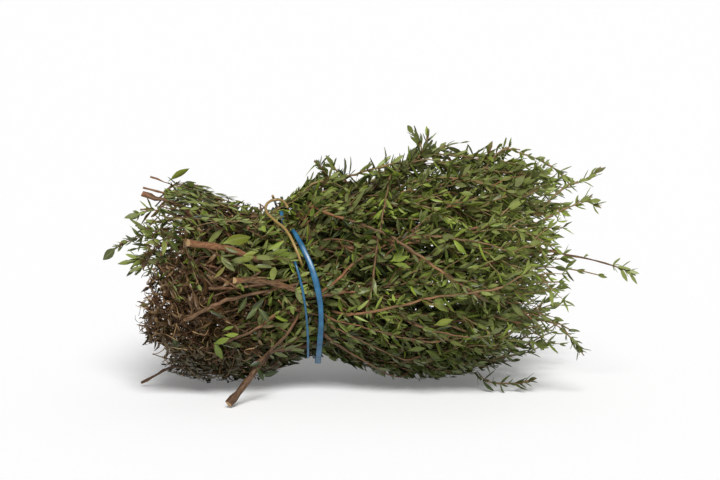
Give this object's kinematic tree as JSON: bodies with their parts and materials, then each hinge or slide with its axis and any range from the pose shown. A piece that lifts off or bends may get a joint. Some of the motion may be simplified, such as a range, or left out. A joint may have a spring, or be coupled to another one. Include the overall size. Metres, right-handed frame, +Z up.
{
  "type": "thyme bundle",
  "caption": "Bundle of cut thyme lying on its side, woody stem ends at one end and leafy tips at the other, held at the waist by elastic bands.",
  "frame": {"origin": "on the surface the bundle lies on, under the middle of its overall box", "axes": "+X along the bundle from the cut stem ends to the leafy tips, +Y towards its back, +Z up"},
  "size_m": [0.2236, 0.0954, 0.1102],
  "materials": {
    "sprig": "matt green leaves on reddish brown woody stems",
    "leaves": "matt, slightly waxy dark green leaf with a paler underside",
    "stems": "reddish brown bark, green towards the tips, pale where cut",
    "dry_fibre": "dry brown rootlets, bark shreds and dead leaves",
    "blue_elastic": "satin blue elastic",
    "pale_elastic": "satin tan elastic"
  },
  "bodies": {
    "root": {"blue_band_thin_turn": "blue_elastic", "blue_band_wide_turn": "blue_elastic", "pale_band": "pale_elastic", "sprig_core": "sprig", "sprig_inner_01": "sprig", "sprig_inner_02": "sprig", "sprig_inner_03": "sprig", "sprig_inner_04": "sprig", "sprig_inner_05": "sprig", "sprig_inner_06": "sprig", "sprig_middle_01": "sprig", "sprig_middle_02": "sprig", "sprig_middle_03": "sprig", "sprig_middle_04": "sprig", "sprig_middle_05": "sprig", "sprig_middle_06": "sprig", "sprig_middle_07": "sprig", "sprig_middle_08": "sprig", "sprig_middle_09": "sprig", "sprig_middle_10": "sprig", "sprig_middle_11": "sprig", "sprig_middle_12": "sprig", "sprig_outer_01": "sprig", "sprig_outer_02": "sprig", "sprig_outer_03": "sprig", "sprig_outer_04": "sprig", "sprig_outer_05": "sprig", "sprig_outer_06": "sprig", "sprig_outer_07": "sprig", "sprig_outer_08": "sprig", "sprig_outer_09": "sprig", "sprig_outer_10": "sprig", "sprig_outer_11": "sprig", "sprig_outer_12": "sprig", "sprig_outer_13": "sprig", "sprig_outer_14": "sprig", "sprig_outer_15": "sprig", "sprig_outer_16": "sprig", "sprig_outer_17": "sprig", "sprig_outer_18": "sprig"}
  },
  "joints": []
}
